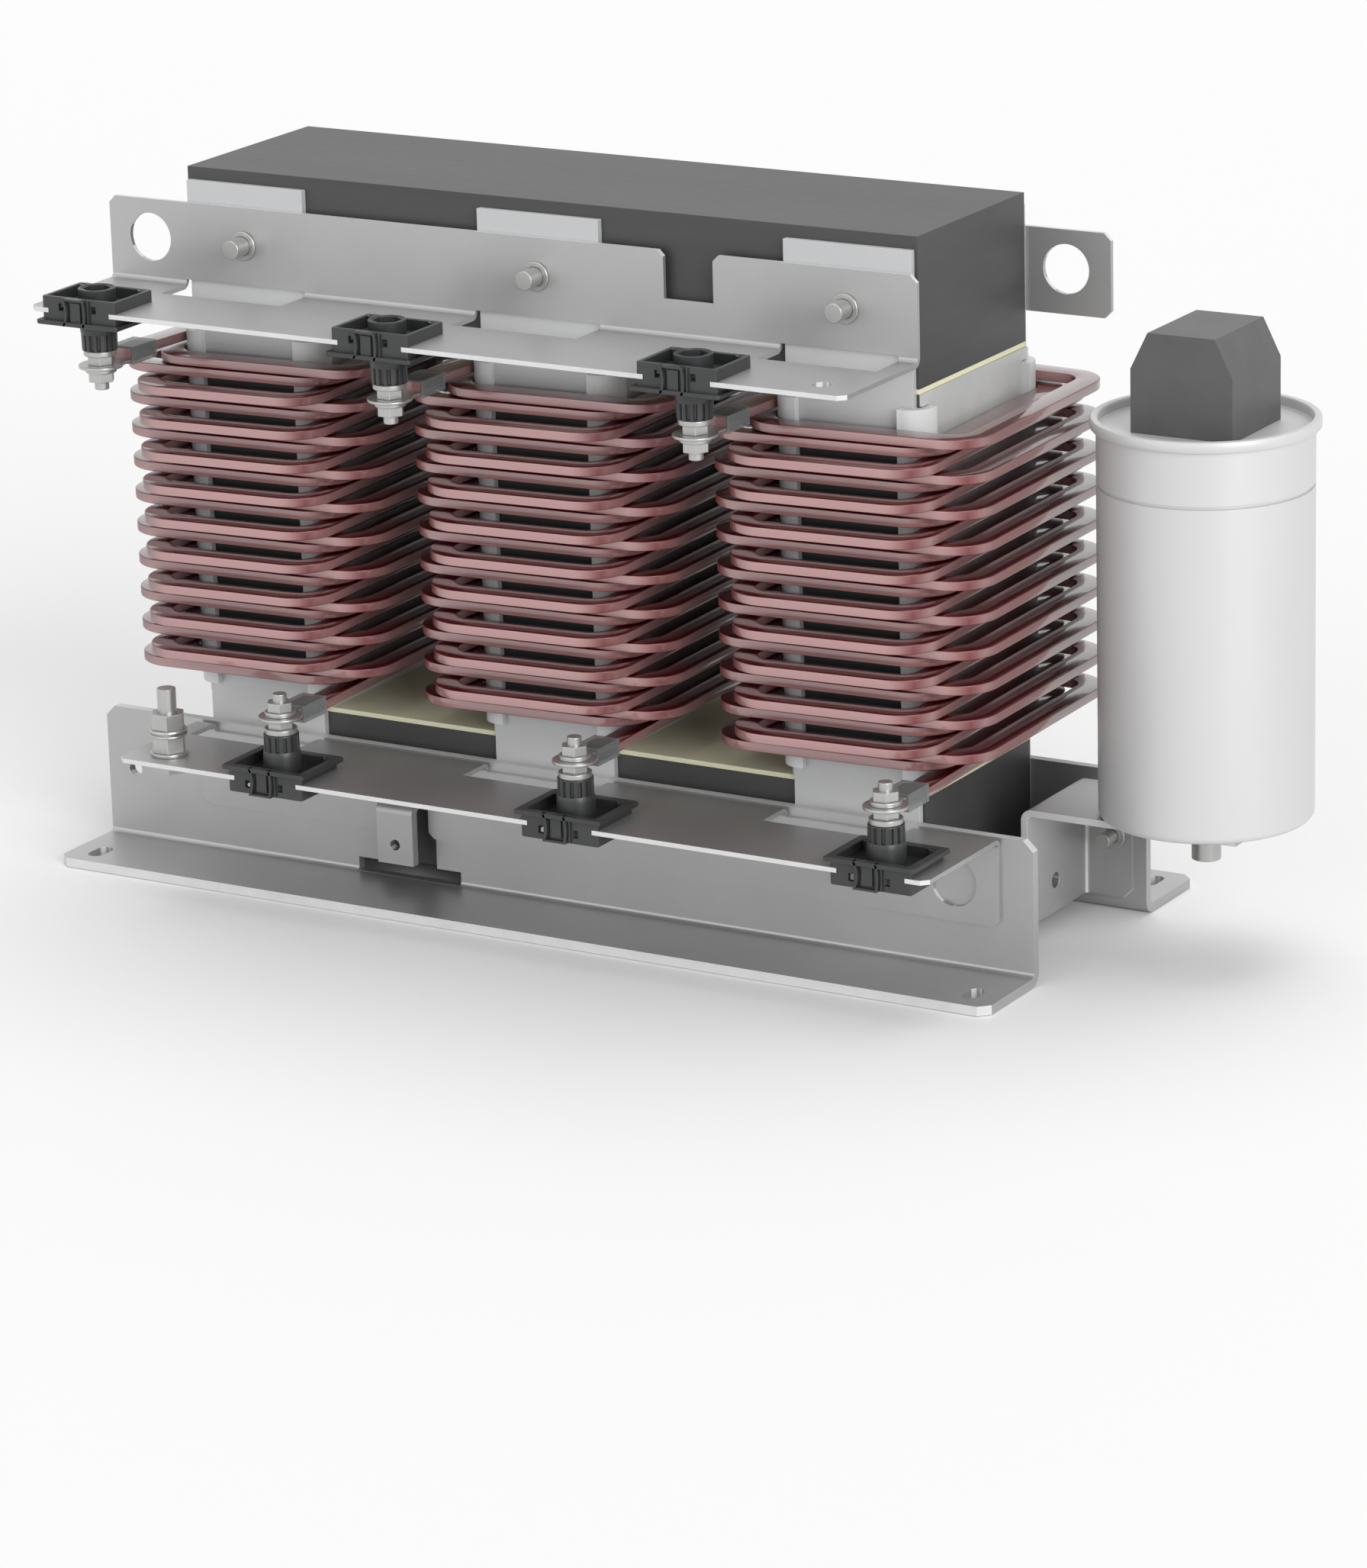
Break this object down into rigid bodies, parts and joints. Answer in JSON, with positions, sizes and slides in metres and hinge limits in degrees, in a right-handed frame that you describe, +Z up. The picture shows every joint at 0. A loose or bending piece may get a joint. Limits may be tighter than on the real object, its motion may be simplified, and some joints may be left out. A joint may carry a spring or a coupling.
{
  "type": "sine wave filter",
  "caption": "Open three-phase output filter: laminated core with edge-wound coils, terminal shelves, feet and a can capacitor on a side bracket.",
  "frame": {"origin": "on the floor plane, at the centre of the four foot slots, under the middle of the core", "axes": "+X along the core towards the capacitor, +Y to the rear, +Z up"},
  "size_m": [0.536, 0.2101, 0.2997],
  "materials": {
    "core_steel": "dark grey varnish, satin",
    "gap_board": "pale yellow laminate, matt edges",
    "tie_steel": "bright rolled steel",
    "post_plastic": "off-white moulded plastic",
    "sheet_plastic": "pale insulating sheet",
    "coil_enamel": "glossy red-brown enamel",
    "bracket_steel": "matt zinc-plated sheet",
    "holder_plastic": "dark grey glass-filled plastic",
    "sleeve_plastic": "smoky grey sleeve",
    "can_aluminium": "drawn aluminium can, satin",
    "cap_plastic": "dark grey moulded cap",
    "zinc_steel": "bright zinc-plated hardware"
  },
  "bodies": {
    "root": {"capacitor_bracket": "bracket_steel", "capacitor_bracket_bolt": "zinc_steel", "capacitor_bracket_washer": "zinc_steel", "capacitor_can": "can_aluminium", "capacitor_cap": "cap_plastic", "capacitor_nut": "zinc_steel", "capacitor_stud": "zinc_steel", "capacitor_washer": "zinc_steel", "coil_centre": "coil_enamel", "coil_left": "coil_enamel", "coil_right": "coil_enamel", "corner_posts_centre": "post_plastic", "corner_posts_left": "post_plastic", "corner_posts_right": "post_plastic", "earth_nuts": "zinc_steel", "earth_stud": "zinc_steel", "earth_washers": "zinc_steel", "front_foot": "bracket_steel", "front_tie_plates": "tie_steel", "limb_centre": "core_steel", "limb_left": "core_steel", "limb_right": "core_steel", "lower_gap_board": "gap_board", "lower_lugs": "zinc_steel", "lower_sleeves": "sleeve_plastic", "lower_terminal_bracket": "bracket_steel", "lower_yoke": "core_steel", "rear_foot": "bracket_steel", "rear_tie_plates": "tie_steel", "side_sheets_centre": "sheet_plastic", "side_sheets_left": "sheet_plastic", "side_sheets_right": "sheet_plastic", "terminal_holder_lower_centre": "holder_plastic", "terminal_holder_lower_left": "holder_plastic", "terminal_holder_lower_right": "holder_plastic", "terminal_holder_upper_centre": "holder_plastic", "terminal_holder_upper_left": "holder_plastic", "terminal_holder_upper_right": "holder_plastic", "terminal_inner_nuts": "zinc_steel", "terminal_outer_nuts": "zinc_steel", "terminal_rings": "zinc_steel", "terminal_studs": "zinc_steel", "terminal_washers": "zinc_steel", "top_rear_strip": "bracket_steel", "upper_gap_board": "gap_board", "upper_lugs": "zinc_steel", "upper_sleeves": "sleeve_plastic", "upper_terminal_bracket": "bracket_steel", "upper_yoke": "core_steel", "yoke_bolt_collars": "zinc_steel", "yoke_bolt_washers": "zinc_steel", "yoke_bolts": "zinc_steel"}
  },
  "joints": []
}
